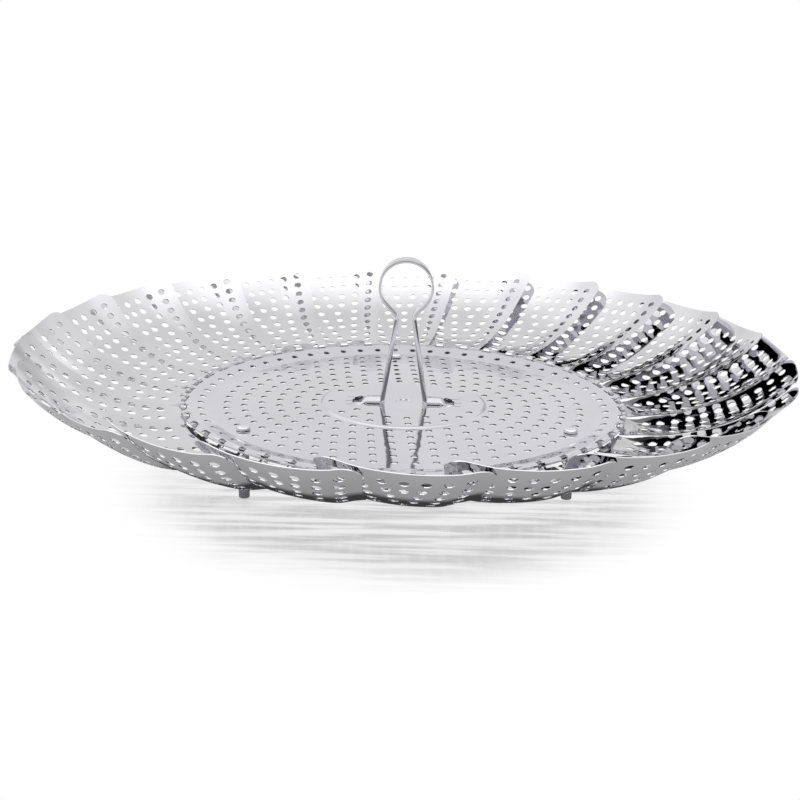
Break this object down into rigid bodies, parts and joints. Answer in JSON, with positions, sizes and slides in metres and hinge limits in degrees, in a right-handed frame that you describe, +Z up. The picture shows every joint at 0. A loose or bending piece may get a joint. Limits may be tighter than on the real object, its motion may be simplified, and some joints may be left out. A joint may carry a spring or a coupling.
{
  "type": "folding steamer basket",
  "caption": "Collapsible steel steamer basket: a perforated plate on short legs, overlapping hinged petals that fold up around it, and a keyhole-shaped strip handle.",
  "frame": {"origin": "centre of the basket on the surface it stands on", "axes": "+Z up; X along the two feet of the handle; +Y from front to back, towards the single back leg"},
  "size_m": [0.2756, 0.2756, 0.0786],
  "materials": {
    "plate_steel": "polished stainless sheet",
    "petal_steel": "mirror-polished stainless sheet",
    "handle_steel": "polished stainless strip",
    "leg_steel": "turned stainless rod"
  },
  "bodies": {
    "base": {"base_plate": "plate_steel", "handle": "handle_steel", "leg_back": "leg_steel", "leg_left": "leg_steel", "leg_right": "leg_steel"},
    "petal_01": {"petal_01": "petal_steel"},
    "petal_02": {"petal_02": "petal_steel"},
    "petal_03": {"petal_03": "petal_steel"},
    "petal_04": {"petal_04": "petal_steel"},
    "petal_05": {"petal_05": "petal_steel"},
    "petal_06": {"petal_06": "petal_steel"},
    "petal_07": {"petal_07": "petal_steel"},
    "petal_08": {"petal_08": "petal_steel"},
    "petal_09": {"petal_09": "petal_steel"},
    "petal_10": {"petal_10": "petal_steel"},
    "petal_11": {"petal_11": "petal_steel"},
    "petal_12": {"petal_12": "petal_steel"},
    "petal_13": {"petal_13": "petal_steel"},
    "petal_14": {"petal_14": "petal_steel"},
    "petal_15": {"petal_15": "petal_steel"},
    "petal_16": {"petal_16": "petal_steel"},
    "petal_17": {"petal_17": "petal_steel"},
    "petal_18": {"petal_18": "petal_steel"},
    "petal_19": {"petal_19": "petal_steel"},
    "petal_20": {"petal_20": "petal_steel"},
    "petal_21": {"petal_21": "petal_steel"},
    "petal_22": {"petal_22": "petal_steel"},
    "petal_23": {"petal_23": "petal_steel"},
    "petal_24": {"petal_24": "petal_steel"}
  },
  "joints": [
    {"name": "petal_01_fold", "type": "hinge", "parent": "base", "child": "petal_01", "pos_m": [-0.00042, 0.08033, 0.026], "axis": [1, 0.0052, 0], "range_deg": [0, 80]},
    {"name": "petal_02_fold", "type": "hinge", "parent": "base", "child": "petal_02", "pos_m": [0.02038, 0.0777, 0.026], "axis": [0.9673, -0.2538, 0], "range_deg": [0, 80]},
    {"name": "petal_03_fold", "type": "hinge", "parent": "base", "child": "petal_03", "pos_m": [0.0398, 0.06978, 0.026], "axis": [0.8686, -0.4955, 0], "range_deg": [0, 80]},
    {"name": "petal_04_fold", "type": "hinge", "parent": "base", "child": "petal_04", "pos_m": [0.0565, 0.0571, 0.026], "axis": [0.7108, -0.7034, 0], "range_deg": [0, 80]},
    {"name": "petal_05_fold", "type": "hinge", "parent": "base", "child": "petal_05", "pos_m": [0.06935, 0.04053, 0.026], "axis": [0.5045, -0.8634, 0], "range_deg": [0, 80]},
    {"name": "petal_06_fold", "type": "hinge", "parent": "base", "child": "petal_06", "pos_m": [0.07748, 0.0212, 0.026], "axis": [0.2639, -0.9646, 0], "range_deg": [0, 80]},
    {"name": "petal_07_fold", "type": "hinge", "parent": "base", "child": "petal_07", "pos_m": [0.08033, 0.00042, 0.026], "axis": [0.0052, -1, 0], "range_deg": [0, 80]},
    {"name": "petal_08_fold", "type": "hinge", "parent": "base", "child": "petal_08", "pos_m": [0.0777, -0.02038, 0.026], "axis": [-0.2538, -0.9673, 0], "range_deg": [0, 80]},
    {"name": "petal_09_fold", "type": "hinge", "parent": "base", "child": "petal_09", "pos_m": [0.06978, -0.0398, 0.026], "axis": [-0.4955, -0.8686, 0], "range_deg": [0, 80]},
    {"name": "petal_10_fold", "type": "hinge", "parent": "base", "child": "petal_10", "pos_m": [0.0571, -0.0565, 0.026], "axis": [-0.7034, -0.7108, 0], "range_deg": [0, 80]},
    {"name": "petal_11_fold", "type": "hinge", "parent": "base", "child": "petal_11", "pos_m": [0.04053, -0.06935, 0.026], "axis": [-0.8634, -0.5045, 0], "range_deg": [0, 80]},
    {"name": "petal_12_fold", "type": "hinge", "parent": "base", "child": "petal_12", "pos_m": [0.0212, -0.07748, 0.026], "axis": [-0.9646, -0.2639, 0], "range_deg": [0, 80]},
    {"name": "petal_13_fold", "type": "hinge", "parent": "base", "child": "petal_13", "pos_m": [0.00042, -0.08033, 0.026], "axis": [-1, -0.0052, 0], "range_deg": [0, 80]},
    {"name": "petal_14_fold", "type": "hinge", "parent": "base", "child": "petal_14", "pos_m": [-0.02038, -0.0777, 0.026], "axis": [-0.9673, 0.2538, 0], "range_deg": [0, 80]},
    {"name": "petal_15_fold", "type": "hinge", "parent": "base", "child": "petal_15", "pos_m": [-0.0398, -0.06978, 0.026], "axis": [-0.8686, 0.4955, 0], "range_deg": [0, 80]},
    {"name": "petal_16_fold", "type": "hinge", "parent": "base", "child": "petal_16", "pos_m": [-0.0565, -0.0571, 0.026], "axis": [-0.7108, 0.7034, 0], "range_deg": [0, 80]},
    {"name": "petal_17_fold", "type": "hinge", "parent": "base", "child": "petal_17", "pos_m": [-0.06935, -0.04053, 0.026], "axis": [-0.5045, 0.8634, 0], "range_deg": [0, 80]},
    {"name": "petal_18_fold", "type": "hinge", "parent": "base", "child": "petal_18", "pos_m": [-0.07748, -0.0212, 0.026], "axis": [-0.2639, 0.9646, 0], "range_deg": [0, 80]},
    {"name": "petal_19_fold", "type": "hinge", "parent": "base", "child": "petal_19", "pos_m": [-0.08033, -0.00042, 0.026], "axis": [-0.0052, 1, 0], "range_deg": [0, 80]},
    {"name": "petal_20_fold", "type": "hinge", "parent": "base", "child": "petal_20", "pos_m": [-0.0777, 0.02038, 0.026], "axis": [0.2538, 0.9673, 0], "range_deg": [0, 80]},
    {"name": "petal_21_fold", "type": "hinge", "parent": "base", "child": "petal_21", "pos_m": [-0.06978, 0.0398, 0.026], "axis": [0.4955, 0.8686, 0], "range_deg": [0, 80]},
    {"name": "petal_22_fold", "type": "hinge", "parent": "base", "child": "petal_22", "pos_m": [-0.0571, 0.0565, 0.026], "axis": [0.7034, 0.7108, 0], "range_deg": [0, 80]},
    {"name": "petal_23_fold", "type": "hinge", "parent": "base", "child": "petal_23", "pos_m": [-0.04053, 0.06935, 0.026], "axis": [0.8634, 0.5045, 0], "range_deg": [0, 80]},
    {"name": "petal_24_fold", "type": "hinge", "parent": "base", "child": "petal_24", "pos_m": [-0.0212, 0.07748, 0.026], "axis": [0.9646, 0.2639, 0], "range_deg": [0, 80]}
  ],
  "couplings": [
    {"joint": "petal_02_fold", "follows": "petal_01_fold", "ratio": 1},
    {"joint": "petal_03_fold", "follows": "petal_01_fold", "ratio": 1},
    {"joint": "petal_04_fold", "follows": "petal_01_fold", "ratio": 1},
    {"joint": "petal_05_fold", "follows": "petal_01_fold", "ratio": 1},
    {"joint": "petal_06_fold", "follows": "petal_01_fold", "ratio": 1},
    {"joint": "petal_07_fold", "follows": "petal_01_fold", "ratio": 1},
    {"joint": "petal_08_fold", "follows": "petal_01_fold", "ratio": 1},
    {"joint": "petal_09_fold", "follows": "petal_01_fold", "ratio": 1},
    {"joint": "petal_10_fold", "follows": "petal_01_fold", "ratio": 1},
    {"joint": "petal_11_fold", "follows": "petal_01_fold", "ratio": 1},
    {"joint": "petal_12_fold", "follows": "petal_01_fold", "ratio": 1},
    {"joint": "petal_13_fold", "follows": "petal_01_fold", "ratio": 1},
    {"joint": "petal_14_fold", "follows": "petal_01_fold", "ratio": 1},
    {"joint": "petal_15_fold", "follows": "petal_01_fold", "ratio": 1},
    {"joint": "petal_16_fold", "follows": "petal_01_fold", "ratio": 1},
    {"joint": "petal_17_fold", "follows": "petal_01_fold", "ratio": 1},
    {"joint": "petal_18_fold", "follows": "petal_01_fold", "ratio": 1},
    {"joint": "petal_19_fold", "follows": "petal_01_fold", "ratio": 1},
    {"joint": "petal_20_fold", "follows": "petal_01_fold", "ratio": 1},
    {"joint": "petal_21_fold", "follows": "petal_01_fold", "ratio": 1},
    {"joint": "petal_22_fold", "follows": "petal_01_fold", "ratio": 1},
    {"joint": "petal_23_fold", "follows": "petal_01_fold", "ratio": 1},
    {"joint": "petal_24_fold", "follows": "petal_01_fold", "ratio": 1}
  ]
}
